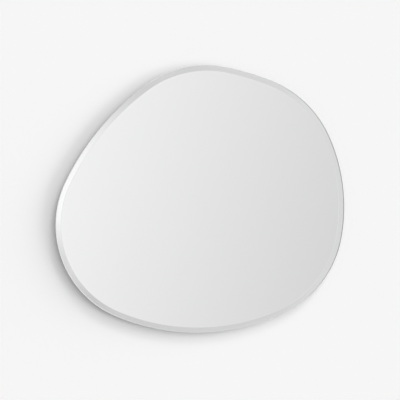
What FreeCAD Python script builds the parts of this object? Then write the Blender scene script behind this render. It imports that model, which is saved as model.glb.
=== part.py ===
"""Frameless bevelled wall mirror with an irregular, pebble-like outline.

Millimetres, +Z up. The glass faces -Y and the mirror hangs on a wall whose face is Y = 0.
The origin lies on the wall, midway between the two points where the hanging rings rest on
their hooks. Behind the glass come its silver, paint and safety film, then foam tape and
adhesive, a fibreboard back, two ring hangers and four rubber bumpers.
"""
import FreeCAD, Part
import math
import os
import Sketcher

SIZES = {
    # Outline. Each side is a long arc: the tilt is how far it is turned, in degrees, from
    # facing squarely right, up, left or down; the extra is how much farther than the
    # outline's reach it lies from the centre along that direction; the bow is its radius.
    "outline_reach": 365,
    "right_tilt": 15,
    "right_extra": 32,
    "right_bow": 480,
    "top_tilt": -12,
    "top_extra": 8,
    "top_bow": 750,
    "left_tilt": -44,
    "left_extra": -27,
    "left_bow": 715,
    "bottom_tilt": 2.5,
    "bottom_extra": 5,
    "bottom_bow": 575,
    # Radii of the rounded corners between neighbouring sides.
    "right_top_corner": 297,
    "top_left_corner": 290,
    "left_bottom_corner": 276,
    "bottom_right_corner": 290,
    # Glass, with a wide bevel round its face, a rounded rim beside it and a narrow rear arris.
    "glass_thickness": 5,
    "bevel_width": 15,
    "bevel_depth": 2.5,
    "front_round": 1.4,
    "back_arris": 0.5,
    # Layers on the back of the glass.
    "silver_thickness": 0.1,
    "paint_thickness": 0.1,
    "film_thickness": 0.2,
    "film_inset": 3,
    # Foam tape and adhesive between the film and the board, in upright lines.
    "tape_thickness": 1,
    "tape_width": 25,
    "tape_pitch": 130,
    "tape_end_gap": 35,
    "bead_width": 10,
    "bead_end_gap": 60,
    # Fibreboard back.
    "board_thickness": 12,
    "board_inset": 45,
    "board_chamfer": 3,
    "pilot_spare": 1,
    # Pan-head screws with a cross recess, all alike.
    "screw_diameter": 3.5,
    "screw_length": 10,
    "screw_tip": 2.5,
    "head_diameter": 7,
    "head_height": 2.2,
    "head_rim": 0.8,
    "cross_width": 0.9,
    "cross_length": 3.8,
    "cross_depth": 1.3,
    # Ring hangers: a steel strap, screwed to the board, curls round the bar of a wire ring.
    "hanger_spacing": 400,
    "hanging_rise": 150,
    "strap_width": 15,
    "strap_thickness": 1.2,
    "strap_length": 40,
    "strap_corner": 5,
    "strap_hole_drop": 9.5,
    "strap_hole_pitch": 21,
    "strap_hole_spare": 0.5,
    "curl_gap": 0.2,
    "hinge_clearance": 0.1,
    "wire_diameter": 3,
    "ring_corner": 3,
    "ring_side": 2,
    "bar_spare": 0.3,
    # Rubber bumpers, each with a steel washer in its well under the screw's head.
    "bumper_height": 6,
    "bumper_diameter": 20,
    "bumper_taper": 1,
    "bumper_round": 0.8,
    "bumper_edge_gap": 28,
    "well_diameter": 9.5,
    "well_floor": 2,
    "washer_diameter": 9,
    "washer_thickness": 1,
    "washer_spare": 0.5,
}

# Sides in order round the outline, a quarter turn apart but for their tilts, and the
# corners that follow them.
SIDES = ["right", "top", "left", "bottom"]
CORNERS = ["right_top", "top_left", "left_bottom", "bottom_right"]
QUARTER = 90

# Directions of the bumpers from the outline's centre, in degrees from the right.
BUMPERS = {"upper_right": 42, "upper_left": 130, "lower_left": 222, "lower_right": 318}

# Upright strips of tape, with one line of adhesive between each two.
TAPE_STRIPS = 4
BEAD_LINES = TAPE_STRIPS - 1

# Hangers to the left and right of the origin.
HANGERS = {"left": -1, "right": 1}

# Layers from the wall to the glass, each standing on those before it.
LAYERS = ["bumper_height", "board_thickness", "tape_thickness", "film_thickness",
          "paint_thickness", "silver_thickness", "glass_thickness"]

# Radii of the strap's curl, half the length of the ring's straight bar, half the width of
# the ring, and the ring's rise from its hinge to where it rests on the hook.
CURL_INNER = "(Sizes.wire_diameter / 2 + Sizes.hinge_clearance)"
CURL_OUTER = f"({CURL_INNER} + Sizes.strap_thickness)"
BAR_HALF = "(Sizes.strap_width / 2 + Sizes.bar_spare)"
RING_HALF = f"({BAR_HALF} + Sizes.ring_corner)"
RING_RISE = f"(Sizes.ring_corner + Sizes.ring_side + {RING_HALF} - Sizes.wire_diameter / 2)"

# What a screw holds against the board, at a hanger and at a bumper.
STRAP_GRIP = "Sizes.strap_thickness"
BUMPER_GRIP = "(Sizes.well_floor + Sizes.washer_thickness)"

# The ends and centre of a sketch's edge, and the sketch's own axes and origin.
START, END, CENTRE = 1, 2, 3
ACROSS, UP = -1, -2
ORIGIN = (-1, 1)

NORMAL = FreeCAD.Vector(0, 0, 1)
TOLERANCE = 0.0001
FAR = 5000

# The least turn of a side's arc beside its corners, and the steps in which the corners give way.
LEAST_TURN = math.radians(1)
CORNER_STEP = 0.02

document = FreeCAD.newDocument("irregular_mirror")
sheet = document.addObject("Spreadsheet::Sheet", "Sizes")
cells = []
nodes = []


def add_cell(alias, number):
    """Writes a named number to the sheet's next row."""
    row = len(cells) + 1
    sheet.set(f"A{row}", alias)
    sheet.set(f"B{row}", str(number))
    sheet.setAlias(f"B{row}", alias)
    cells.append(alias)


def value(expression):
    """The number that an expression of the sheet's sizes gives."""
    return FreeCAD.Units.Quantity(sheet.evalExpression(expression)).Value


def point(across, up):
    return FreeCAD.Vector(across, up, 0)


# ---- sketches ----------------------------------------------------------------------------

def new_body(label):
    body = document.addObject("PartDesign::Body", label)
    body.Label = label
    return body


def origin_plane(body, role):
    return next(plane for plane in body.Origin.OriginFeatures if plane.Role == role)


def new_sketch(body, role, name, offset="0"):
    """A sketch on one of the body's own origin planes, or moved off it along its normal."""
    sketch = body.newObject("Sketcher::SketchObject", name)
    sketch.AttachmentSupport = [(origin_plane(body, role), "")]
    sketch.MapMode = "FlatFace"
    sketch.setExpression("AttachmentOffset.Base.z", offset)
    return sketch


def relate(sketch, kind, *where):
    sketch.addConstraint(Sketcher.Constraint(kind, *where))


def dimension(sketch, expression, kind, *where):
    """Adds a dimension to a sketch and ties it to the sheet."""
    index = sketch.addConstraint(Sketcher.Constraint(kind, *where, value(expression)))
    sketch.setExpression(f"Constraints[{index}]", expression)


def locate(sketch, edge, end, across, up):
    """Fixes a point of an edge by expressions for its distances from the sketch's origin."""
    for expression, kind, axis in ((across, "DistanceX", UP), (up, "DistanceY", ACROSS)):
        if expression == "0":
            relate(sketch, "PointOnObject", edge, end, axis)
        else:
            dimension(sketch, expression, kind, *ORIGIN, edge, end)


def join(sketch, kind, edges):
    """Joins each edge's end to the next one's start."""
    for edge, following in zip(edges, edges[1:]):
        relate(sketch, kind, edge, END, following, START)


def add_lines(sketch, corners):
    """Straight edges through corners that are given as pairs of expressions."""
    spots = [point(value(across), value(up)) for across, up in corners]
    lines = []
    for here, there in zip(spots, spots[1:]):
        lines.append(sketch.addGeometry(Part.LineSegment(here, there), False))
    join(sketch, "Coincident", lines)
    for line, corner in zip(lines, corners):
        locate(sketch, line, START, *corner)
    return lines


def add_polygon(sketch, corners):
    """A closed loop of straight edges."""
    lines = add_lines(sketch, corners + corners[:1])
    relate(sketch, "Coincident", lines[-1], END, lines[0], START)


def add_rectangle(sketch, width, height):
    """A rectangle centred on the sketch's origin."""
    left, right = f"-{width} / 2", f"{width} / 2"
    bottom, top = f"-{height} / 2", f"{height} / 2"
    add_polygon(sketch, [(left, bottom), (right, bottom), (right, top), (left, top)])


def add_circle(sketch, diameter, across="0", up="0"):
    spot = point(value(across), value(up))
    circle = sketch.addGeometry(Part.Circle(spot, NORMAL, value(diameter) / 2), False)
    dimension(sketch, diameter, "Diameter", circle)
    locate(sketch, circle, CENTRE, across, up)


def add_arc(sketch, centre, radius, start, end):
    """An arc that turns left from one direction to another, in radians."""
    circle = Part.Circle(centre, NORMAL, radius)
    return sketch.addGeometry(Part.ArcOfCircle(circle, start, end), False)


# ---- features ----------------------------------------------------------------------------

def pad(body, sketch, length, symmetric=False):
    feature = body.newObject("PartDesign::Pad", "pad")
    feature.Profile = sketch
    feature.Midplane = symmetric
    feature.setExpression("Length", length)
    document.recompute()
    return feature


def pocket(body, sketch, depth, towards_glass=False, symmetric=False):
    """Cuts a sketch into a body and makes sure that it takes something away."""
    before = body.Shape.Volume
    feature = body.newObject("PartDesign::Pocket", "pocket")
    feature.Profile = sketch
    feature.Reversed = towards_glass
    feature.Midplane = symmetric
    feature.setExpression("Length", depth)
    document.recompute()
    if body.Shape.Volume > before - TOLERANCE:
        raise ValueError(f"a pocket in {body.Label} cuts nothing")


def revolve(body, sketch):
    """Turns a section about the sketch's upright axis."""
    feature = body.newObject("PartDesign::Revolution", "revolution")
    feature.Profile = sketch
    feature.ReferenceAxis = (sketch, ["V_Axis"])
    feature.Angle = 360
    document.recompute()
    return feature


def edges_at(feature, depth):
    """Names of the edges that lie in the plane at one depth, given as an expression."""
    names = []
    for number, edge in enumerate(feature.Shape.Edges, start=1):
        box = edge.BoundBox
        if max(abs(box.YMin - value(depth)), abs(box.YMax - value(depth))) < TOLERANCE:
            names.append(f"Edge{number}")
    return names


def chamfer(body, base, depth, size, size_on_face=None):
    """Chamfers a feature's edges at one depth, evenly or with another size on the face."""
    feature = body.newObject("PartDesign::Chamfer", "chamfer")
    feature.Base = (base, edges_at(base, depth))
    feature.setExpression("Size", size)
    if size_on_face:
        feature.ChamferType = "Two distances"
        feature.setExpression("Size2", size_on_face)
    document.recompute()
    return feature


def fillet(body, base, names, radius):
    feature = body.newObject("PartDesign::Fillet", "fillet")
    feature.Base = (base, names)
    feature.setExpression("Radius", radius)
    document.recompute()
    return feature


# ---- sub-parts in the mirror's frame -----------------------------------------------------

def behind(layer):
    """Expression for the depth of one layer's back, which stands on the layers behind it."""
    layers = LAYERS[:LAYERS.index(layer)]
    return "-(" + " + ".join(f"Sizes.{name}" for name in layers) + ")"


def place(item, across, depth, up):
    """Puts an object in the mirror's frame, where expressions of the sizes say."""
    item.setExpression("Placement.Base.x", across)
    item.setExpression("Placement.Base.y", depth)
    item.setExpression("Placement.Base.z", up)


def keep(item):
    """Lists an object as one of the mirror's sub-parts."""
    nodes.append(item)


def group(label, items):
    """Lists like pieces as one sub-part of separate solids."""
    compound = document.addObject("Part::Compound", label)
    compound.Label = label
    compound.Links = items
    keep(compound)


# ---- outline -----------------------------------------------------------------------------

def side_centre(side):
    """Expressions for the centre of one side's arc, about the outline's centre."""
    offset = f"(Sizes.outline_reach + Sizes.{side}_extra - Sizes.{side}_bow)"
    turn = f"(({SIDES.index(side)} * {QUARTER} + Sizes.{side}_tilt) * 1 deg)"
    return f"{offset} * cos({turn})", f"{offset} * sin({turn})"


def side_centres():
    return [point(*map(value, side_centre(side))) for side in SIDES]


def corner_centre(centres, number, radius):
    """Centre of a corner's arc, which touches the arcs of two sides from inside, if it can."""
    following = (number + 1) % len(SIDES)
    to_first = value(f"Sizes.{SIDES[number]}_bow") - radius
    to_second = value(f"Sizes.{SIDES[following]}_bow") - radius
    apart = centres[following] - centres[number]
    along = (to_first ** 2 - to_second ** 2 + apart.Length ** 2) / (2 * apart.Length)
    if abs(along) > to_first:
        return None
    unit = apart / apart.Length
    aside = point(-unit.y, unit.x) * math.sqrt(to_first ** 2 - along ** 2)
    return centres[number] + unit * along + aside


def direction(centre, target):
    """Angle of the line from one point to another, in radians."""
    return math.atan2(target.y - centre.y, target.x - centre.x)


def turn_between(start, end):
    """The turn from one direction to another, at most half a turn either way."""
    return (end - start + math.pi) % math.tau - math.pi


def corners_fit(share):
    """Whether every side keeps some length beside corners of a share of their radii."""
    centres = side_centres()
    rounds = [corner_centre(centres, number, share * value(f"Sizes.{corner}_corner"))
              for number, corner in enumerate(CORNERS)]
    if None in rounds:
        return False
    turns = [turn_between(direction(centre, rounds[number - 1]), direction(centre, rounds[number]))
             for number, centre in enumerate(centres)]
    return min(turns) > LEAST_TURN


def corner_radius(corner):
    """Expression for a corner's radius, drawn in where its sides leave it too little room."""
    return f"Sizes.corner_share * Sizes.{corner}_corner"


def outline_arcs():
    """Centre, radius, first and last direction of the arcs, side and corner by turns."""
    centres = side_centres()
    radii = [value(corner_radius(corner)) for corner in CORNERS]
    rounds = [corner_centre(centres, number, radius) for number, radius in enumerate(radii)]
    arcs = []
    for number, side in enumerate(SIDES):
        following = centres[(number + 1) % len(SIDES)]
        start = direction(centres[number], rounds[number - 1])
        middle = start + turn_between(start, direction(centres[number], rounds[number]))
        end = middle + turn_between(middle, direction(following, rounds[number]))
        arcs.append((centres[number], value(f"Sizes.{side}_bow"), start, middle))
        arcs.append((rounds[number], radii[number], middle, end))
    return arcs


def outline_sketch(body, inset):
    """The outline, drawn in evenly by an inset, with every arc tied to the sheet."""
    sketch = new_sketch(body, "XZ_Plane", "outline")
    edges = []
    for centre, radius, start, end in outline_arcs():
        edges.append(add_arc(sketch, centre, radius - value(inset), start, end))
    join(sketch, "Tangent", edges + edges[:1])
    for number, side in enumerate(SIDES):
        locate(sketch, edges[2 * number], CENTRE, *side_centre(side))
        dimension(sketch, f"Sizes.{side}_bow - {inset}", "Radius", edges[2 * number])
    for number, corner in enumerate(CORNERS):
        radius = f"{corner_radius(corner)} - {inset}"
        dimension(sketch, radius, "Radius", edges[2 * number + 1])
    return sketch


def outline_face(inset):
    """The flat area inside the outline, drawn in evenly by an inset."""
    edges = []
    for centre, radius, start, end in outline_arcs():
        circle = Part.Circle(centre, NORMAL, radius - value(inset))
        edges.append(Part.ArcOfCircle(circle, start, end).toShape())
    return Part.Face(Part.Wire(edges))


def stretch_inside(start, end, inset):
    """The box round the part of a straight line that lies inside the outline."""
    return Part.LineSegment(start, end).toShape().common(outline_face(inset)).BoundBox


# ---- worked-out places -------------------------------------------------------------------

def work_out_corners():
    """The share of the corners' radii that fits between the sides, all of them if it can."""
    share = 1
    while not corners_fit(share):
        share -= CORNER_STEP
        if share < CORNER_STEP:
            raise ValueError("the sides don't meet round the outline")
    add_cell("corner_share", share)


def work_out_balance():
    """The glass's centre of mass, which hangs midway between the hangers."""
    balance = outline_face("0").CenterOfMass
    add_cell("balance_across", balance.x)
    add_cell("balance_up", balance.y)


def work_out_bumpers():
    """Each bumper's place, in its own direction and a set distance inside the board's edge."""
    for name, degrees in BUMPERS.items():
        unit = point(math.cos(math.radians(degrees)), math.sin(math.radians(degrees)))
        stretch = stretch_inside(point(0, 0), unit * FAR, "Sizes.board_inset")
        spot = unit * (stretch.DiagonalLength - value("Sizes.bumper_edge_gap"))
        add_cell(f"{name}_across", spot.x)
        add_cell(f"{name}_up", spot.y)


def work_out_lines(name, count, end_gap):
    """Places of upright lines that stop short of the board's edge at both ends."""
    for number in range(1, count + 1):
        shift = number - (count + 1) / 2
        across = value(f"Sizes.balance_across + {shift} * Sizes.tape_pitch")
        stretch = stretch_inside(point(across, -FAR), point(across, FAR), "Sizes.board_inset")
        add_cell(f"{name}_{number}_across", across)
        add_cell(f"{name}_{number}_bottom", stretch.YMin + value(end_gap))
        add_cell(f"{name}_{number}_top", stretch.YMax - value(end_gap))


def from_balance(across, up):
    """Expressions in the mirror's frame for a place about the outline's centre."""
    return (f"{across} - Sizes.balance_across",
            f"{up} - Sizes.balance_up - Sizes.hanging_rise")


def to_outline(across, up):
    """Expressions about the outline's centre for a place in the mirror's frame."""
    return (f"{across} + Sizes.balance_across",
            f"{up} + Sizes.balance_up + Sizes.hanging_rise")


def place_layer(body, layer):
    across, up = from_balance("0", "0")
    place(body, across, behind(layer), up)
    keep(body)


# ---- glass and its layers ----------------------------------------------------------------

def make_glass():
    """Flat glass with a wide bevel round its face."""
    body = new_body("mirror_glass")
    slab = pad(body, outline_sketch(body, "0"), "Sizes.glass_thickness")
    bevel = chamfer(body, slab, "-Sizes.glass_thickness", "Sizes.bevel_depth",
                    "Sizes.bevel_width")
    rim = edges_at(bevel, "Sizes.bevel_depth - Sizes.glass_thickness")
    rounded = fillet(body, bevel, rim, "Sizes.front_round")
    chamfer(body, rounded, "0", "Sizes.back_arris")
    place_layer(body, "glass_thickness")


def make_layer(label, layer, inset):
    """A thin layer over the glass's back, up to its own inset edge."""
    body = new_body(label)
    pad(body, outline_sketch(body, inset), f"Sizes.{layer}")
    place_layer(body, layer)


# ---- tape, adhesive and board ------------------------------------------------------------

def make_tape(number):
    """One strip of double-sided foam tape, cut square."""
    line = f"Sizes.tape_{number}"
    strip = document.addObject("Part::Box", f"foam_tape_{number}")
    strip.Label = f"foam_tape_{number}"
    strip.setExpression("Length", "Sizes.tape_width")
    strip.setExpression("Width", "Sizes.tape_thickness")
    strip.setExpression("Height", f"{line}_top - {line}_bottom")
    across, up = from_balance(f"{line}_across - Sizes.tape_width / 2", f"{line}_bottom")
    place(strip, across, behind("film_thickness"), up)
    keep(strip)


def make_bead(number):
    """One line of adhesive with round ends, pressed flat between the film and the board."""
    line = f"Sizes.bead_{number}"
    body = new_body(f"adhesive_bead_{number}")
    sketch = new_sketch(body, "XZ_Plane", "line")
    radius = value("Sizes.bead_width / 2")
    rise = f"({line}_top - {line}_bottom - Sizes.bead_width)"
    spot = point(0, value(rise))
    edges = [add_arc(sketch, spot, radius, 0, math.pi),
             sketch.addGeometry(Part.LineSegment(point(-radius, spot.y), point(-radius, 0))),
             add_arc(sketch, point(0, 0), radius, math.pi, math.tau),
             sketch.addGeometry(Part.LineSegment(point(radius, 0), point(radius, spot.y)))]
    join(sketch, "Tangent", edges + edges[:1])
    locate(sketch, edges[2], CENTRE, "0", "0")
    locate(sketch, edges[0], CENTRE, "0", rise)
    dimension(sketch, "Sizes.bead_width / 2", "Radius", edges[0])
    pad(body, sketch, "Sizes.tape_thickness")
    across, up = from_balance(f"{line}_across", f"{line}_bottom + Sizes.bead_width / 2")
    place(body, across, behind("tape_thickness"), up)
    keep(body)


def make_board():
    """The back board, with a chamfered rear edge and a pilot hole for each screw."""
    body = new_body("backing_board")
    slab = pad(body, outline_sketch(body, "Sizes.board_inset"), "Sizes.board_thickness")
    chamfer(body, slab, "0", "Sizes.board_chamfer")
    strap_holes = [hole for side in HANGERS for hole in strap_screw_places(side)]
    for places, grip in ((strap_holes, STRAP_GRIP), (bumper_places(), BUMPER_GRIP)):
        sketch = new_sketch(body, "XZ_Plane", "pilots")
        for across, up in places:
            add_circle(sketch, "Sizes.screw_diameter", *to_outline(across, up))
        depth = f"Sizes.screw_length - {grip} + Sizes.pilot_spare"
        pocket(body, sketch, depth, towards_glass=True)
    place_layer(body, "board_thickness")


# ---- screws ------------------------------------------------------------------------------

def make_screw(label):
    """One pan-head screw with its axis along Y and its head's underside at its origin."""
    body = new_body(label)
    sketch = new_sketch(body, "XY_Plane", "section")
    shank = "Sizes.screw_diameter / 2"
    head = "Sizes.head_diameter / 2"
    corners = [("0", "Sizes.head_height"), ("0", "-Sizes.screw_length"),
               (shank, "Sizes.screw_tip - Sizes.screw_length"), (shank, "0"), (head, "0"),
               (head, "Sizes.head_rim")]
    lines = add_lines(sketch, corners)
    locate(sketch, lines[-1], END, *corners[-1])
    # The dome is an arc about the axis, from the head's rim to its top.
    rim = point(value(head), value("Sizes.head_rim"))
    dome_rise = value("Sizes.head_height - Sizes.head_rim")
    radius = (rim.x ** 2 + dome_rise ** 2) / (2 * dome_rise)
    centre = point(0, value("Sizes.head_height") - radius)
    dome = add_arc(sketch, centre, radius, direction(centre, rim), math.pi / 2)
    join(sketch, "Coincident", [lines[-1], dome, lines[0]])
    relate(sketch, "PointOnObject", dome, CENTRE, UP)
    revolve(body, sketch)
    for width, length in (("Sizes.cross_width", "Sizes.cross_length"),
                          ("Sizes.cross_length", "Sizes.cross_width")):
        slot = new_sketch(body, "XZ_Plane", "slot", "Sizes.cross_depth - Sizes.head_height")
        add_rectangle(slot, width, length)
        pocket(body, slot, "Sizes.cross_depth")
    return body


def make_screws(label, places, grip):
    """A group of screws whose heads hold a known thickness against the board."""
    screws = []
    for number, (across, up) in enumerate(places, start=1):
        screw = make_screw(f"{label}_{number}")
        place(screw, across, f"{behind('board_thickness')} + {grip}", up)
        screws.append(screw)
    group(label, screws)


# ---- hangers -----------------------------------------------------------------------------

def hinge_place(side):
    """Expressions for the ring's hinge axis at one hanger, in the mirror's frame."""
    across = f"{HANGERS[side]} * Sizes.hanger_spacing / 2"
    return across, f"{CURL_OUTER} - Sizes.bumper_height", f"-{RING_RISE}"


def strap_screw_places(side):
    across = hinge_place(side)[0]
    upper = f"-{RING_RISE} - Sizes.strap_hole_drop"
    return [(across, upper), (across, f"{upper} - Sizes.strap_hole_pitch")]


def make_strap(side):
    """A flat steel strap whose top curls round the ring's bar, which lies at its origin."""
    body = new_body(f"hanger_strap_{side}")
    sketch = new_sketch(body, "YZ_Plane", "section")
    corners = [(f"-{CURL_OUTER}", "0"), (f"-{CURL_OUTER}", "-Sizes.strap_length"),
               (f"-{CURL_INNER}", "-Sizes.strap_length"), (f"-{CURL_INNER}", "0")]
    lines = add_lines(sketch, corners)
    lip = f"Sizes.curl_gap - {CURL_INNER}"
    opening = -math.acos(value(lip) / value(CURL_OUTER))
    outer = add_arc(sketch, point(0, 0), value(CURL_OUTER), opening, math.pi)
    inner = add_arc(sketch, point(0, 0), value(CURL_INNER), opening, math.pi)
    for curl in (outer, inner):
        locate(sketch, curl, CENTRE, "0", "0")
    relate(sketch, "Coincident", outer, END, lines[0], START)
    relate(sketch, "Coincident", inner, END, lines[-1], END)
    # The strap's end is cut square to the curl, a little way off the flat part.
    tip = [point(radius * math.cos(opening), radius * math.sin(opening))
           for radius in (value(CURL_OUTER), value(CURL_INNER))]
    end = sketch.addGeometry(Part.LineSegment(*tip))
    relate(sketch, "Coincident", end, START, outer, START)
    relate(sketch, "Coincident", end, END, inner, START)
    relate(sketch, "PointOnObject", *ORIGIN, end)
    dimension(sketch, lip, "DistanceX", *ORIGIN, outer, START)
    locate(sketch, lines[-1], END, *corners[-1])
    strap = pad(body, sketch, "Sizes.strap_width", symmetric=True)
    fillet(body, strap, lower_corners(strap), "Sizes.strap_corner")
    holes = new_sketch(body, "XZ_Plane", "holes")
    for drop in ("Sizes.strap_hole_drop", "Sizes.strap_hole_drop + Sizes.strap_hole_pitch"):
        add_circle(holes, "Sizes.screw_diameter + Sizes.strap_hole_spare", up=f"-({drop})")
    pocket(body, holes, f"4 * {CURL_OUTER}", symmetric=True)
    place(body, *hinge_place(side))
    keep(body)


def lower_corners(strap):
    """Names of the two edges across the strap's thickness at its lower end."""
    names = []
    for number, edge in enumerate(strap.Shape.Edges, start=1):
        box = edge.BoundBox
        across_only = box.YLength > box.XLength + TOLERANCE
        if across_only and box.ZMax < TOLERANCE - value("Sizes.strap_length"):
            names.append(f"Edge{number}")
    return names


def make_ring(side):
    """A D-shaped wire ring that stands up from its straight bar, which lies at its origin."""
    body = new_body(f"d_ring_{side}")
    path = new_sketch(body, "XZ_Plane", "half_ring")
    bar = value(BAR_HALF)
    bend = value("Sizes.ring_corner")
    side_top = value("Sizes.ring_corner + Sizes.ring_side")
    half = value(RING_HALF)
    edges = [path.addGeometry(Part.LineSegment(point(0, 0), point(bar, 0))),
             add_arc(path, point(bar, bend), bend, -math.pi / 2, 0),
             path.addGeometry(Part.LineSegment(point(half, bend), point(half, side_top))),
             add_arc(path, point(0, side_top), half, 0, math.pi / 2)]
    join(path, "Tangent", edges)
    locate(path, edges[0], START, "0", "0")
    locate(path, edges[1], CENTRE, BAR_HALF, "Sizes.ring_corner")
    locate(path, edges[3], CENTRE, "0", "Sizes.ring_corner + Sizes.ring_side")
    relate(path, "PointOnObject", edges[3], END, UP)
    section = new_sketch(body, "YZ_Plane", "wire")
    add_circle(section, "Sizes.wire_diameter")
    pipe = body.newObject("PartDesign::AdditivePipe", "half_wire")
    pipe.Profile = section
    pipe.Spine = path
    document.recompute()
    mirrored = body.newObject("PartDesign::Mirrored", "other_half")
    mirrored.Originals = [pipe]
    mirrored.MirrorPlane = (origin_plane(body, "YZ_Plane"), [""])
    body.Tip = mirrored
    document.recompute()
    place(body, *hinge_place(side))
    keep(body)


# ---- bumpers -----------------------------------------------------------------------------

def bumper_places():
    return [from_balance(f"Sizes.{name}_across", f"Sizes.{name}_up") for name in BUMPERS]


def make_bumper(name):
    """A tapered rubber foot with a well for its washer and the screw's head."""
    body = new_body(f"bumper_{name}")
    sketch = new_sketch(body, "XY_Plane", "section")
    hole = "(Sizes.screw_diameter + Sizes.washer_spare) / 2"
    well = "Sizes.well_diameter / 2"
    base = "Sizes.bumper_diameter / 2"
    add_polygon(sketch, [(hole, "0"), (base, "0"),
                         (f"{base} - Sizes.bumper_taper", "Sizes.bumper_height"),
                         (well, "Sizes.bumper_height"), (well, "Sizes.well_floor"),
                         (hole, "Sizes.well_floor")])
    foot = revolve(body, sketch)
    fillet(body, foot, edges_at(foot, "Sizes.bumper_height"), "Sizes.bumper_round")
    across, up = from_balance(f"Sizes.{name}_across", f"Sizes.{name}_up")
    place(body, across, behind("board_thickness"), up)
    keep(body)


def make_washers():
    """The four bumpers' washers."""
    washers = []
    for name, (across, up) in zip(BUMPERS, bumper_places()):
        body = new_body(f"bumper_washer_{name}")
        sketch = new_sketch(body, "XZ_Plane", "ring")
        add_circle(sketch, "Sizes.washer_diameter")
        add_circle(sketch, "Sizes.screw_diameter + Sizes.washer_spare")
        pad(body, sketch, "Sizes.washer_thickness")
        place(body, across, f"{behind('board_thickness')} + {BUMPER_GRIP}", up)
        washers.append(body)
    group("bumper_washers", washers)


# ---- the whole mirror --------------------------------------------------------------------

def make_mirror():
    make_glass()
    make_layer("silver_coating", "silver_thickness", "Sizes.back_arris")
    make_layer("backing_paint", "paint_thickness", "Sizes.back_arris")
    make_layer("safety_film", "film_thickness", "Sizes.film_inset")
    for number in range(1, TAPE_STRIPS + 1):
        make_tape(number)
    for number in range(1, BEAD_LINES + 1):
        make_bead(number)
    make_board()
    for side in HANGERS:
        make_strap(side)
        make_ring(side)
        make_screws(f"hanger_screws_{side}", strap_screw_places(side), STRAP_GRIP)
    for name in BUMPERS:
        make_bumper(name)
    make_washers()
    make_screws("bumper_screws", bumper_places(), BUMPER_GRIP)


def check():
    """Stops if any object failed or any sub-part has no sound shape."""
    for item in document.Objects:
        if "Invalid" in item.State or "Error" in item.State:
            raise ValueError(f"{item.Label} failed: {item.State}")
    for item in nodes:
        if item.Shape.isNull() or not item.Shape.isValid():
            raise ValueError(f"{item.Label} has no sound shape")


def write():
    os.makedirs("parts", exist_ok=True)
    for item in nodes:
        item.Shape.exportStep(f"parts/{item.Label}.step")


def fill_sheet():
    """Writes the driving sizes to the sheet, and then the places worked out from them."""
    for alias, number in SIZES.items():
        add_cell(alias, number)
    document.recompute()
    work_out_corners()
    document.recompute()
    work_out_balance()
    document.recompute()
    work_out_bumpers()
    work_out_lines("tape", TAPE_STRIPS, "Sizes.tape_end_gap")
    work_out_lines("bead", BEAD_LINES, "Sizes.bead_end_gap")
    document.recompute()


fill_sheet()
make_mirror()
document.recompute()
check()
write()
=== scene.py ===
"""Looks of the frameless bevelled mirror, in metres, +Z up.

The mirror hangs on a pale studio wall at Y = 0 and faces -Y. Soft lamps on the right throw its
shadow to the left, and its face and bevel reflect the studio in front of it. The wall shows only
from the front, so that the back can be looked at too.
"""
import bpy
import math
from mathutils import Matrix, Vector


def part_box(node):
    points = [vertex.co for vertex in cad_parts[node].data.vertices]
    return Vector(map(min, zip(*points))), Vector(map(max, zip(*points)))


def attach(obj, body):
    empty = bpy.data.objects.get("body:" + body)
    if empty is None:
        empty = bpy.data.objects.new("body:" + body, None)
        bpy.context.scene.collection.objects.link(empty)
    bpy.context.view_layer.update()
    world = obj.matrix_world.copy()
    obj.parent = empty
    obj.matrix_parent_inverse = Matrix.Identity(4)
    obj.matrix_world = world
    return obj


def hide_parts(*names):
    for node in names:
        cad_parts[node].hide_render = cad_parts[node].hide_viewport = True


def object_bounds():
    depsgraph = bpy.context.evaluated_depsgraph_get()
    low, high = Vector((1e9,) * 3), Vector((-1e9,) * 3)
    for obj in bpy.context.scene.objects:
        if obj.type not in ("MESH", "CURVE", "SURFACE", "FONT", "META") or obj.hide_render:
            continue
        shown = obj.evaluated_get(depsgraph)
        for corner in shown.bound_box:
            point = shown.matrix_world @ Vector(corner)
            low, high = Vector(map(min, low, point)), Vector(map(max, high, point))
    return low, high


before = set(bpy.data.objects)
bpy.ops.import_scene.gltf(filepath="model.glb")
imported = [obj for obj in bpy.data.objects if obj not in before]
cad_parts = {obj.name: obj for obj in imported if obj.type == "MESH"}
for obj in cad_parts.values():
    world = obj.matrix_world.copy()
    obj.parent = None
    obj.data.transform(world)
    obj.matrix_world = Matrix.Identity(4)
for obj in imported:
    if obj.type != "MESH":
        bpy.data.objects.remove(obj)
cad_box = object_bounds()

# ---- sizes and levels --------------------------------------------------------------------

MM = 0.001
WHITE = (1, 1, 1, 1)
BLACK = (0, 0, 0, 1)

# Outline of the glass: the direction that each long side faces, in degrees from the right,
# its reach from the outline's centre, its radius, and the radius of the corner after it.
SIDES = [
    {"faces": 15, "reach": 397 * MM, "bow": 480 * MM, "corner": 297 * MM},
    {"faces": 78, "reach": 373 * MM, "bow": 750 * MM, "corner": 290 * MM},
    {"faces": 136, "reach": 338 * MM, "bow": 715 * MM, "corner": 276 * MM},
    {"faces": 272.5, "reach": 370 * MM, "bow": 575 * MM, "corner": 290 * MM},
]
RIM_POINTS = 900

# Section of the glass: its bevel, the softly rounded rim beside it and its rear arris. A
# narrow strip between rim and bevel keeps the bevel's shine flat. The silvered back stands a
# hair's breadth in front of the solid silver.
BEVEL_WIDTH = 15 * MM
BEVEL_DEPTH = 2.5 * MM
RIM_WIDTH = 2.4 * MM
RIM_DEPTH = 1.8 * MM
RIM_STEPS = 10
RIM_STRIP = 0.15 * MM
BACK_ARRIS = 0.5 * MM
SILVER_GAP = 0.03 * MM

# Ribbons of the film's weave: their pitch, and the wave texture's own turns for each unit.
RIBBON_PITCH = 3.5 * MM
WAVE_TURNS = 20

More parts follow.
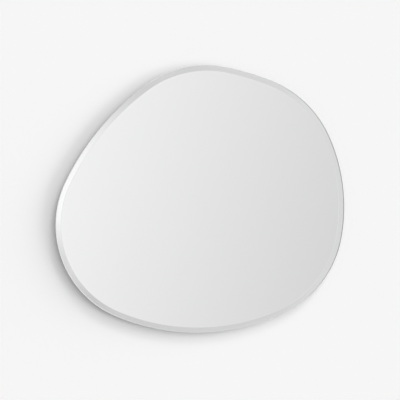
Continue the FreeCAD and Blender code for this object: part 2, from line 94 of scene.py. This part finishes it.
# The photograph: its width on the wall, the point of the wall at its middle, and its lens.
VIEW_WIDTH = 1.108
VIEW_CENTRE = Vector((-0.0096, 0, -0.1384))
LENS_MM = 300
SENSOR_MM = 36

# Wall and floor: half their breadths, the floor's depth below the origin, their own glow, which
# stands for light that reaches them evenly, and the paint that the lamps light.
WALL_HALF = 1.6
FLOOR_HALF = 9
FLOOR_DROP = 1.4
WALL_GLOW = 0.281
FLOOR_GLOW = 0.085
STAGE_PAINT = (0.8, 0.8, 0.8, 1)

# Lamps: how far each stands off the line straight out from the wall, its direction round that
# line from the right upwards, and its breadth, all in degrees, and its strength. Four light
# the front from the right, and two light the back through the wall.
LAMPS = {
    "main_lamp": {"off": 37.4, "round": 33.8, "breadth": 65, "strength": 1.57},
    "side_lamp": {"off": 81.1, "round": 14.7, "breadth": 33, "strength": 2.62},
    "lower_lamp": {"off": 63.9, "round": -11.9, "breadth": 19, "strength": 0.84},
    "upper_lamp": {"off": 61.5, "round": 61.9, "breadth": 12, "strength": 0.46},
    "rear_lamp": {"off": 133, "round": 59, "breadth": 30, "strength": 2.0},
    "rear_fill": {"off": 137, "round": 168, "breadth": 110, "strength": 0.8},
}

# Light rays count their bounces in whole numbers, and these part none from one, and one from
# more.
NO_BOUNCE = 0.5
ONE_BOUNCE = 1.5

# The world's own light, and the level behind wall and floor.
AMBIENT = 0.08
PALE = 0.9216

# The studio that glass and metal reflect. A level is its brightness, and a place is how far to
# the right and up a direction points for each unit of its whole length. A pair of numbers is
# where a part begins and where it is whole, or where it begins to fade and has gone.
SCREEN = {"level": 0.80, "across": -2.5, "up": 0.8, "edge": (0.07, 0.11)}
ROOM = {"level": 0.641, "across": -0.46, "up": -0.08}
PANELS = [
    {"place": (0.122, -0.046), "tall": 2.0, "edge": (0.012, 0.05), "level": 0.46},
    {"place": (0.117, 0.053), "tall": 1.0, "edge": (0.0, 0.07), "level": 0.15},
]
FAR_LEVEL = 0.66
FAR_EDGE = (0.22, 0.32)
BANDS = {"below": (-0.2, -0.3), "right": 9.0, "up": 6.0, "phase": 2.2, "level": 0.2}
FLAG = {"left": (-0.155, -0.22), "tall": (0.35, 0.25), "level": -0.5}
RIGHT_LIGHT = {"starts": (0.15, 0.25), "ends": (0.5, 0.64), "level": 0.5}
TOP_LIGHT = {"starts": (0.17, 0.27), "ends": (0.45, 0.65), "level": 0.3}
SPOTS = [
    {"place": (-0.32, -0.33), "tall": 1.0, "edge": (0.0, 0.26), "level": -0.45},
    {"place": (0.45, -0.35), "tall": 1.0, "edge": (0.0, 0.35), "level": -0.6},
    {"place": (-0.06, -0.5), "tall": 2.0, "edge": (0.0, 0.2), "level": 0.4},
]
DARKEST = 0.03
REAR = {"level": 0.62, "up": 0.65}
FRONT_EDGE = (0.0, 0.3)


# ---- node helpers ------------------------------------------------------------------------

def add(tree, kind, inputs=None, **settings):
    """Adds a node. Its inputs are numbers, colours or other nodes' sockets, by name or index."""
    node = tree.nodes.new(kind)
    for name, setting in settings.items():
        setattr(node, name, setting)
    for name, given in (inputs or {}).items():
        if isinstance(given, bpy.types.NodeSocket):
            tree.links.new(given, node.inputs[name])
        else:
            node.inputs[name].default_value = given
    return node


def maths(tree, operation, *values):
    """The result of a maths node on numbers or sockets."""
    return add(tree, "ShaderNodeMath", dict(enumerate(values)), operation=operation).outputs[0]


def ease(tree, value, low, high, start=0, end=1):
    """Goes smoothly from start to end as a value goes from low to high."""
    inputs = {"Value": value, "From Min": low, "From Max": high, "To Min": start, "To Max": end}
    return add(tree, "ShaderNodeMapRange", inputs, interpolation_type="SMOOTHSTEP").outputs[0]


def blend(tree, factor, first, second):
    """A number between two numbers or sockets."""
    return add(tree, "ShaderNodeMix", {"Factor": factor, "A": first, "B": second},
               data_type="FLOAT").outputs["Result"]


def blend_colours(tree, factor, first, second):
    """A colour between two colours."""
    mix = add(tree, "ShaderNodeMix", {"Factor": factor}, data_type="RGBA")
    for name, colour in (("A", first), ("B", second)):
        if isinstance(colour, bpy.types.NodeSocket):
            tree.links.new(colour, mix.inputs[name])
        else:
            mix.inputs[name].default_value = (*colour, 1)
    return mix.outputs["Result"]


def new_material(name):
    """A material, its node tree and its main shader."""
    material = bpy.data.materials.new(name)
    material.use_nodes = True
    tree = material.node_tree
    return material, tree, tree.nodes["Principled BSDF"]


def in_place(tree, stretch=(1, 1, 1)):
    """The object's own coordinates, in metres, stretched where a pattern has a direction."""
    spot = add(tree, "ShaderNodeTexCoord").outputs["Object"]
    return add(tree, "ShaderNodeMapping", {"Vector": spot, "Scale": stretch}).outputs[0]


def noise(tree, place, waves, detail=3, roughness=0.5):
    """A noise pattern with so many waves to the metre."""
    inputs = {"Vector": place, "Scale": waves, "Detail": detail, "Roughness": roughness}
    return add(tree, "ShaderNodeTexNoise", inputs).outputs[0]


def relief(tree, shader, height, depth, strength=1.0):
    """Bumps a shader's surface by a pattern of so many metres from low to high."""
    bump = add(tree, "ShaderNodeBump",
               {"Height": height, "Distance": depth, "Strength": strength})
    tree.links.new(bump.outputs[0], shader.inputs["Normal"])


# ---- stage -------------------------------------------------------------------------------

def plane(name, corners, material):
    """A flat square that isn't part of the mirror."""
    mesh = bpy.data.meshes.new(name)
    mesh.from_pydata(corners, [], [(0, 1, 2, 3)])
    mesh.materials.append(material)
    made = bpy.data.objects.new(name, mesh)
    bpy.context.scene.collection.objects.link(made)


def stage_material(name, glow_level):
    """Pale paint that the camera sees, from its front only.

    Lamps behind it still reach what the camera sees, but no light from them is handed on by
    the mirror's back to the paint.
    """
    material, tree, _ = new_material(name)
    tree.nodes.clear()
    path = add(tree, "ShaderNodeLightPath").outputs
    glow = add(tree, "ShaderNodeEmission", {"Color": WHITE, "Strength": glow_level})
    paint = add(tree, "ShaderNodeBsdfDiffuse", {"Color": STAGE_PAINT})
    pale = add(tree, "ShaderNodeAddShader", {0: glow.outputs[0], 1: paint.outputs[0]})
    black = add(tree, "ShaderNodeBsdfDiffuse", {"Color": BLACK})
    clear = add(tree, "ShaderNodeBsdfTransparent")
    light_ray = maths(tree, "ADD", path["Is Diffuse Ray"], path["Is Shadow Ray"])
    handed_on = maths(tree, "GREATER_THAN", path["Ray Depth"], ONE_BOUNCE)
    stopped = maths(tree, "MULTIPLY", light_ray, handed_on)
    front = maths(tree, "SUBTRACT", 1, add(tree, "ShaderNodeNewGeometry").outputs["Backfacing"])
    seen = maths(tree, "MULTIPLY", front, path["Is Camera Ray"])
    hidden = add(tree, "ShaderNodeMixShader", {0: stopped, 1: clear.outputs[0],
                                               2: black.outputs[0]})
    shown = add(tree, "ShaderNodeMixShader", {0: seen, 1: hidden.outputs[0],
                                              2: pale.outputs[0]})
    add(tree, "ShaderNodeOutputMaterial", {"Surface": shown.outputs[0]})
    return material


def make_wall():
    half = WALL_HALF
    corners = [(-half, 0, -half), (half, 0, -half), (half, 0, half), (-half, 0, half)]
    plane("wall", corners, stage_material("wall_paint", WALL_GLOW))


def make_floor():
    half, z = FLOOR_HALF, -FLOOR_DROP
    corners = [(-half, -half, z), (half, -half, z), (half, half, z), (-half, half, z)]
    plane("floor", corners, stage_material("floor_paint", FLOOR_GLOW))


def make_lamp(name, lamp):
    """A far lamp that lights surfaces, and isn't itself seen in glass or metal."""
    light = bpy.data.lights.new(name, "SUN")
    light.energy = lamp["strength"]
    light.angle = math.radians(lamp["breadth"])
    off, turn = math.radians(lamp["off"]), math.radians(lamp["round"])
    aside = Vector((math.cos(turn), 0, math.sin(turn))) * math.sin(off)
    towards = aside - Vector((0, math.cos(off), 0))
    made = bpy.data.objects.new(name, light)
    made.rotation_mode = "QUATERNION"
    made.rotation_quaternion = towards.to_track_quat("Z", "Y")
    made.visible_glossy = False
    made.visible_transmission = False
    bpy.context.scene.collection.objects.link(made)


def make_camera():
    """A long lens straight in front of the mirror, as in the photograph."""
    lens = bpy.data.cameras.new("camera")
    lens.lens = LENS_MM
    lens.sensor_width = SENSOR_MM
    camera = bpy.data.objects.new("camera", lens)
    away = VIEW_WIDTH * LENS_MM / SENSOR_MM
    camera.location = VIEW_CENTRE + Vector((0, cad_box[0].y - away, 0))
    camera.rotation_euler = (math.pi / 2, 0, 0)
    bpy.context.scene.collection.objects.link(camera)
    bpy.context.scene.camera = camera


# ---- studio round the mirror -------------------------------------------------------------

def make_world():
    """Plain ambient light, a pale background, and the studio that glass and metal reflect.

    Light that paint has scattered once meets only the ambient light, and not the studio.
    """
    world = bpy.data.worlds.new("studio")
    world.use_nodes = True
    tree = world.node_tree
    tree.nodes.clear()
    path = add(tree, "ShaderNodeLightPath")
    ambient = add(tree, "ShaderNodeBackground", {"Color": WHITE, "Strength": AMBIENT})
    pale = add(tree, "ShaderNodeBackground", {"Color": WHITE, "Strength": PALE})
    room = add(tree, "ShaderNodeBackground", {"Color": WHITE, "Strength": studio_light(tree)})
    bent = maths(tree, "MAXIMUM", path.outputs["Is Glossy Ray"],
                 path.outputs["Is Transmission Ray"])
    direct = maths(tree, "LESS_THAN", path.outputs["Diffuse Depth"], NO_BOUNCE)
    mirrored = maths(tree, "MULTIPLY", bent, direct)
    lit = add(tree, "ShaderNodeMixShader", {0: mirrored, 1: ambient.outputs[0],
                                            2: room.outputs[0]})
    seen = add(tree, "ShaderNodeMixShader", {0: path.outputs["Is Camera Ray"],
                                             1: lit.outputs[0], 2: pale.outputs[0]})
    add(tree, "ShaderNodeOutputWorld", {"Surface": seen.outputs[0]})
    bpy.context.scene.world = world


def studio_light(tree):
    """Brightness of the studio by direction."""
    towards = add(tree, "ShaderNodeSeparateXYZ",
                  {0: add(tree, "ShaderNodeTexCoord").outputs["Generated"]})
    right, ahead, up = towards.outputs
    off_axis = maths(tree, "SQRT", squares(tree, right, up))
    # Straight in front of the mirror hangs a screen that fades from left to right.
    screen = sloped(tree, SCREEN, right, up)
    # Beside it the room is plainer, with a bright tall panel to the right and a weaker one
    # over it.
    near = sloped(tree, ROOM, right, up)
    for panel in PANELS:
        near = maths(tree, "ADD", near, patch(tree, panel, right, up))
    # Farther out it is even, but for broad soft bands below.
    slant = maths(tree, "MULTIPLY_ADD", right, BANDS["right"], BANDS["phase"])
    slant = maths(tree, "MULTIPLY_ADD", up, BANDS["up"], slant)
    below = ease(tree, up, *BANDS["below"], end=BANDS["level"])
    far = maths(tree, "MULTIPLY_ADD", maths(tree, "SINE", slant), below, FAR_LEVEL)
    room = blend(tree, ease(tree, off_axis, *FAR_EDGE), near, far)
    # A dark flag hangs on the left, and strips of soft light on the right and above.
    flag = maths(tree, "MULTIPLY", ease(tree, right, *FLAG["left"]),
                 ease(tree, maths(tree, "ABSOLUTE", up), *FLAG["tall"]))
    room = maths(tree, "MULTIPLY_ADD", flag, FLAG["level"], room)
    for along, light in ((right, RIGHT_LIGHT), (up, TOP_LIGHT)):
        strip = ease(tree, along, *light["starts"], end=light["level"])
        within = ease(tree, along, *light["ends"], start=1, end=0)
        room = maths(tree, "MULTIPLY_ADD", strip, within, room)
    # Low down there are dark spots to either side and a pale one between them.
    for spot in SPOTS:
        room = maths(tree, "ADD", room, patch(tree, spot, right, up))
    room = maths(tree, "MAXIMUM", room, DARKEST)
    front = blend(tree, ease(tree, off_axis, *SCREEN["edge"]), screen, room)
    rear = maths(tree, "MULTIPLY_ADD", up, REAR["up"], REAR["level"])
    return blend(tree, ease(tree, ahead, *FRONT_EDGE), front, rear)


def sloped(tree, part, right, up):
    """A level that changes evenly across and up."""
    level = maths(tree, "MULTIPLY_ADD", right, part["across"], part["level"])
    return maths(tree, "MULTIPLY_ADD", up, part["up"], level)


def patch(tree, part, right, up):
    """A soft patch that adds its level at its middle and fades out at its edge."""
    aside = maths(tree, "SUBTRACT", right, part["place"][0])
    above = maths(tree, "SUBTRACT", up, part["place"][1])
    above = maths(tree, "DIVIDE", above, part["tall"])
    off_middle = maths(tree, "SQRT", squares(tree, aside, above))
    return ease(tree, off_middle, *part["edge"], start=part["level"], end=0)


def squares(tree, first, second):
    """The sum of two squares."""
    return maths(tree, "MULTIPLY_ADD", first, first, maths(tree, "MULTIPLY", second, second))


# ---- the glass pane ----------------------------------------------------------------------

def side_centre(side):
    turn = math.radians(side["faces"])
    offset = side["reach"] - side["bow"]
    return Vector((offset * math.cos(turn), offset * math.sin(turn)))


def corner_centre(side, following):
    """Centre of the round corner that touches two neighbouring sides from inside."""
    here, there = side_centre(side), side_centre(following)
    to_here = side["bow"] - side["corner"]
    to_there = following["bow"] - side["corner"]
    apart = there - here
    along = (to_here ** 2 - to_there ** 2 + apart.length ** 2) / (2 * apart.length)
    unit = apart.normalized()
    aside = Vector((-unit.y, unit.x)) * math.sqrt(to_here ** 2 - along ** 2)
    return here + unit * along + aside


def outline_arcs():
    """The outline's arcs in turn: centre, radius and the direction in which each begins."""
    following = SIDES[1:] + SIDES[:1]
    rounds = [corner_centre(side, after) for side, after in zip(SIDES, following)]
    arcs = []
    for number, side in enumerate(SIDES):
        here = side_centre(side)
        begins = rounds[number - 1] - here
        ends = rounds[number] - here
        arcs.append((here, side["bow"], math.atan2(begins.y, begins.x)))
        arcs.append((rounds[number], side["corner"], math.atan2(ends.y, ends.x)))
    return arcs


def outline_point(arcs, turn, inset):
    """The point where the outline, drawn in by an inset, faces a direction."""
    centre, radius, _ = min(arcs, key=lambda arc: (turn - arc[2]) % math.tau)
    return centre + Vector((math.cos(turn), math.sin(turn))) * (radius - inset)


def glass_section(back, front):
    """Points of the glass's section from its back to its face: inset, depth and sharpness."""
    slope = BEVEL_DEPTH / BEVEL_WIDTH
    corner = front + BEVEL_DEPTH
    points = [(BACK_ARRIS, back, True), (0, back - BACK_ARRIS, True)]
    for number in range(RIM_STEPS + 1):
        step = number / RIM_STEPS
        inset = RIM_WIDTH * step ** 2
        points.append((inset, corner + RIM_DEPTH * (1 - step) ** 2 - slope * inset, False))
    inset = RIM_WIDTH + RIM_STRIP
    points.append((inset, corner - slope * inset, False))
    points.append((BEVEL_WIDTH, front, True))
    return points


def make_pane():
    """The glass with a smooth outline and a silvered back, which stands for the solid pane."""
    low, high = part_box("mirror_glass")
    arcs = outline_arcs()
    turns = [math.tau * number / RIM_POINTS for number in range(RIM_POINTS)]
    rim = [outline_point(arcs, turn, 0) for turn in turns]
    centre = Vector((high.x - max(spot.x for spot in rim), high.z - max(spot.y for spot in rim)))
    section = glass_section(high.y - SILVER_GAP, low.y)
    spots = []
    for inset, depth, _ in section:
        for turn in turns:
            spot = centre + outline_point(arcs, turn, inset)
            spots.append((spot.x, depth, spot.y))
    count = RIM_POINTS
    last = (len(section) - 1) * count
    faces = [tuple(range(count - 1, -1, -1)), tuple(range(last, last + count))]
    for ring in range(len(section) - 1):
        for number in range(count):
            here, there = ring * count + number, ring * count + (number + 1) % count
            faces.append((here, there, there + count, here + count))
    mesh = bpy.data.meshes.new("glass_pane")
    mesh.from_pydata(spots, [], faces)
    mesh.materials.append(glass_material())
    mesh.materials.append(silvering_material("silvering"))
    mesh.polygons[0].material_index = 1
    mesh.polygons.foreach_set("use_smooth", [False, False] + [True] * (len(faces) - 2))
    sharp_rings = [ring for ring, point in enumerate(section) if point[2]]
    for edge in mesh.edges:
        rings = {vertex // count for vertex in edge.vertices}
        edge.use_edge_sharp = len(rings) == 1 and rings.pop() in sharp_rings
    pane = bpy.data.objects.new("glass_pane", mesh)
    bpy.context.scene.collection.objects.link(pane)
    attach(pane, "mirror")
    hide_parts("mirror_glass")


# ---- materials ---------------------------------------------------------------------------

def surface_tilt(tree):
    """How far a surface turns away from the wall's direction: 0 is parallel to the wall."""
    normal = add(tree, "ShaderNodeNewGeometry").outputs["True Normal"]
    forward = add(tree, "ShaderNodeSeparateXYZ", {0: normal}).outputs[1]
    return maths(tree, "SUBTRACT", 1, maths(tree, "ABSOLUTE", forward))


def glass_material():
    """Clear float glass, whose ground edge scatters a little green light."""
    material, tree, shader = new_material("clear_glass")
    shader.inputs["Base Color"].default_value = (0.985, 0.99, 0.987, 1)
    shader.inputs["Roughness"].default_value = 0.0
    shader.inputs["IOR"].default_value = 1.52
    shader.inputs["Transmission Weight"].default_value = 1.0
    tilt = surface_tilt(tree)
    off_face = ease(tree, tilt, low=0.03, high=0.1)
    scattered = ease(tree, tilt, low=0.3, high=1.0, start=0.15, end=0.6)
    worn = noise(tree, in_place(tree), waves=300, detail=4)
    dark_green, pale_green = (0.30, 0.40, 0.36), (0.50, 0.62, 0.57)
    green = blend_colours(tree, worn, dark_green, pale_green)
    ground = add(tree, "ShaderNodeBsdfDiffuse", {"Color": green})
    edge = maths(tree, "MULTIPLY", off_face, scattered)
    mixed = add(tree, "ShaderNodeMixShader", {0: edge, 1: shader.outputs[0],
                                              2: ground.outputs[0]})
    tree.links.new(mixed.outputs[0], tree.nodes["Material Output"].inputs["Surface"])
    return material


def silvering_material(name):
    """Silver with the faint unevenness of a chemical coat."""
    material, tree, shader = new_material(name)
    shader.inputs["Metallic"].default_value = 1.0
    shader.inputs["Roughness"].default_value = 0.0
    haze = noise(tree, in_place(tree), waves=6, detail=2)
    cool, warm = (0.980, 0.981, 0.982), (0.987, 0.987, 0.986)
    tree.links.new(blend_colours(tree, haze, cool, warm), shader.inputs["Base Color"])
    return material


def paint_material():
    """Matt grey coat with an orange-peel texture."""
    material, tree, shader = new_material("mirror_paint")
    place = in_place(tree)
    mottle = noise(tree, place, waves=90, detail=5, roughness=0.6)
    dark, pale = (0.30, 0.32, 0.34), (0.42, 0.44, 0.46)
    tree.links.new(blend_colours(tree, mottle, dark, pale), shader.inputs["Base Color"])
    shader.inputs["Roughness"].default_value = 0.6
    peel = noise(tree, place, waves=500, detail=2)
    relief(tree, shader, peel, depth=0.1 * MM)
    return material


def film_material():
    """Pale film with woven ribbons, drawn over faint wrinkles and trapped air."""
    material, tree, shader = new_material("safety_film")
    place = in_place(tree)
    weave = {"Vector": place, "Scale": math.tau / (WAVE_TURNS * RIBBON_PITCH),
             "Distortion": 0.3, "Detail": 1.0, "Detail Scale": 0.2}
    across, upright = [add(tree, "ShaderNodeTexWave", weave, bands_direction=axis).outputs[1]
                       for axis in ("X", "Z")]
    crossed = maths(tree, "MULTIPLY", across, upright)
    cloudy = noise(tree, place, waves=14, detail=4, roughness=0.6)
    drawn = {"Vector": in_place(tree, (1, 1, 0.35)), "Scale": 22, "Detail": 2, "Distortion": 1.2}
    wrinkles = add(tree, "ShaderNodeTexNoise", drawn).outputs[0]
    dull, pale, ribbon = (0.60, 0.625, 0.64), (0.75, 0.765, 0.77), (0.86, 0.87, 0.87)
    base = blend_colours(tree, ease(tree, cloudy, low=0.3, high=0.7), dull, pale)
    ribbon_share = maths(tree, "MULTIPLY", crossed, 0.6)
    colour = blend_colours(tree, ribbon_share, base, ribbon)
    tree.links.new(colour, shader.inputs["Base Color"])
    shine = ease(tree, wrinkles, low=0.3, high=0.7, start=0.32, end=0.5)
    tree.links.new(shine, shader.inputs["Roughness"])
    ribbon_height = 0.12
    height = maths(tree, "MULTIPLY_ADD", crossed, ribbon_height, wrinkles)
    relief(tree, shader, height, depth=1.2 * MM)
    return material


def foam_material():
    """Soft white foam full of fine cells."""
    material, tree, shader = new_material("foam_tape")
    cells = add(tree, "ShaderNodeTexVoronoi", {"Vector": in_place(tree), "Scale": 1400})
    distance = cells.outputs[0]
    cell, wall = (0.93, 0.93, 0.91), (0.72, 0.72, 0.69)
    colour = blend_colours(tree, ease(tree, distance, low=0.1, high=0.7), cell, wall)
    tree.links.new(colour, shader.inputs["Base Color"])
    shader.inputs["Roughness"].default_value = 0.85
    relief(tree, shader, distance, depth=0.2 * MM, strength=0.6)
    return material


def adhesive_material():
    """Cured off-white adhesive with a lumpy, slightly glossy skin, painted darker in its hollows
    and lighter on its crests as shade and highlight.
    """
    material, tree, shader = new_material("adhesive")
    lumps = noise(tree, in_place(tree), waves=160)
    # The colour follows the lumps' height: hollows get painted shade and crests a painted
    # highlight.
    shaded_hollow, lit_crest = (0.72, 0.72, 0.67), (0.86, 0.86, 0.82)
    tree.links.new(blend_colours(tree, lumps, shaded_hollow, lit_crest), shader.inputs["Base Color"])
    shader.inputs["Roughness"].default_value = 0.35
    relief(tree, shader, lumps, depth=0.6 * MM)
    return material


def board_material():
    """Bare fibreboard: fine pressed fibres on its faces and darker sawn layers at its edge."""
    material, tree, shader = new_material("fibreboard")
    place = in_place(tree)
    clouds = noise(tree, place, waves=12, detail=5, roughness=0.65)
    flecks = noise(tree, place, waves=190, detail=8, roughness=0.8)
    drawn = {"Vector": in_place(tree, (1, 1, 0.25)), "Scale": 240, "Detail": 3, "Distortion": 2.5}
    strands = add(tree, "ShaderNodeTexNoise", drawn).outputs[0]
    layers = noise(tree, in_place(tree, (1, 9, 1)), waves=110, detail=5, roughness=0.7)
    brown, light_brown = (0.43, 0.30, 0.185), (0.50, 0.355, 0.225)
    fleck, strand = (0.24, 0.155, 0.09), (0.66, 0.51, 0.36)
    burnt, sawn_brown = (0.20, 0.13, 0.078), (0.37, 0.255, 0.16)
    face = blend_colours(tree, ease(tree, clouds, low=0.3, high=0.7), brown, light_brown)
    fleck_share = ease(tree, flecks, low=0.52, high=0.72, end=0.55)
    face = blend_colours(tree, fleck_share, face, fleck)
    strand_share = ease(tree, strands, low=0.55, high=0.75, end=0.45)
    face = blend_colours(tree, strand_share, face, strand)
    sawn = blend_colours(tree, ease(tree, layers, low=0.3, high=0.7), burnt, sawn_brown)
    at_edge = ease(tree, surface_tilt(tree), low=0.04, high=0.1)
    tree.links.new(blend_colours(tree, at_edge, face, sawn), shader.inputs["Base Color"])
    shader.inputs["Roughness"].default_value = 0.78
    shader.inputs["Specular IOR Level"].default_value = 0.3
    height = maths(tree, "ADD", flecks, maths(tree, "MULTIPLY", layers, at_edge))
    relief(tree, shader, height, depth=0.35 * MM)
    return material


def zinc_material(name, stretch, tone, roughness):
    """Zinc plate with fine drawn lines, faint stains and handling marks."""
    material, tree, shader = new_material(name)
    lines = noise(tree, in_place(tree, stretch), waves=900, roughness=0.6)
    stains = noise(tree, in_place(tree), waves=120, detail=4, roughness=0.65)
    cool = tuple(part * tone for part in (0.70, 0.72, 0.76))
    warm = tuple(part * tone for part in (0.66, 0.64, 0.58))
    worn = (0.42, 0.42, 0.43)
    colour = blend_colours(tree, ease(tree, stains, low=0.4, high=0.75), cool, warm)
    line_share = ease(tree, lines, low=0.5, high=0.7, end=0.5)
    colour = blend_colours(tree, line_share, colour, worn)
    tree.links.new(colour, shader.inputs["Base Color"])
    shader.inputs["Metallic"].default_value = 1.0
    clean, stained = roughness - 0.08, roughness + 0.14
    dull = ease(tree, stains, low=0.25, high=0.8, start=clean, end=stained)
    tree.links.new(dull, shader.inputs["Roughness"])
    relief(tree, shader, lines, depth=0.04 * MM)
    return material


def rubber_material():
    """Matt black moulded rubber with a fine grain and a trace of dust."""
    material, tree, shader = new_material("bumper_rubber")
    place = in_place(tree)
    grain = noise(tree, place, waves=1800, roughness=0.7)
    dust = noise(tree, place, waves=260, detail=4, roughness=0.7)
    black, dusty = (0.022, 0.022, 0.024), (0.11, 0.108, 0.10)
    dust_share = ease(tree, dust, low=0.5, high=0.8, end=0.6)
    tree.links.new(blend_colours(tree, dust_share, black, dusty), shader.inputs["Base Color"])
    shine = ease(tree, grain, low=0.3, high=0.7, start=0.5, end=0.68)
    tree.links.new(shine, shader.inputs["Roughness"])
    relief(tree, shader, grain, depth=0.12 * MM)
    return material


def dress(material, *starts):
    """Gives a material to every solid whose name begins in one of the given ways."""
    for name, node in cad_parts.items():
        if name.startswith(starts):
            node.data.materials.clear()
            node.data.materials.append(material)


# ---- the scene ---------------------------------------------------------------------------

bpy.context.scene.view_settings.view_transform = "Standard"
make_camera()
make_wall()
make_floor()
for lamp_name, lamp in LAMPS.items():
    make_lamp(lamp_name, lamp)
make_world()
make_pane()
dress(silvering_material("silver"), "silver_coating")
dress(paint_material(), "backing_paint")
dress(film_material(), "safety_film")
dress(foam_material(), "foam_tape")
dress(adhesive_material(), "adhesive_bead")
dress(board_material(), "backing_board")
strap = zinc_material("zinc_strap", stretch=(1, 1, 0.04), tone=1.0, roughness=0.34)
wire = zinc_material("ring_wire", stretch=(0.3, 0.3, 0.3), tone=1.05, roughness=0.24)
screw = zinc_material("screw_steel", stretch=(0.5, 0.5, 0.5), tone=0.95, roughness=0.3)
washer = zinc_material("washer_steel", stretch=(0.2, 1, 1), tone=0.9, roughness=0.36)
dress(strap, "hanger_strap")
dress(wire, "d_ring")
dress(screw, "hanger_screws", "bumper_screws")
dress(washer, "bumper_washers")
dress(rubber_material(), "bumper_upper", "bumper_lower")
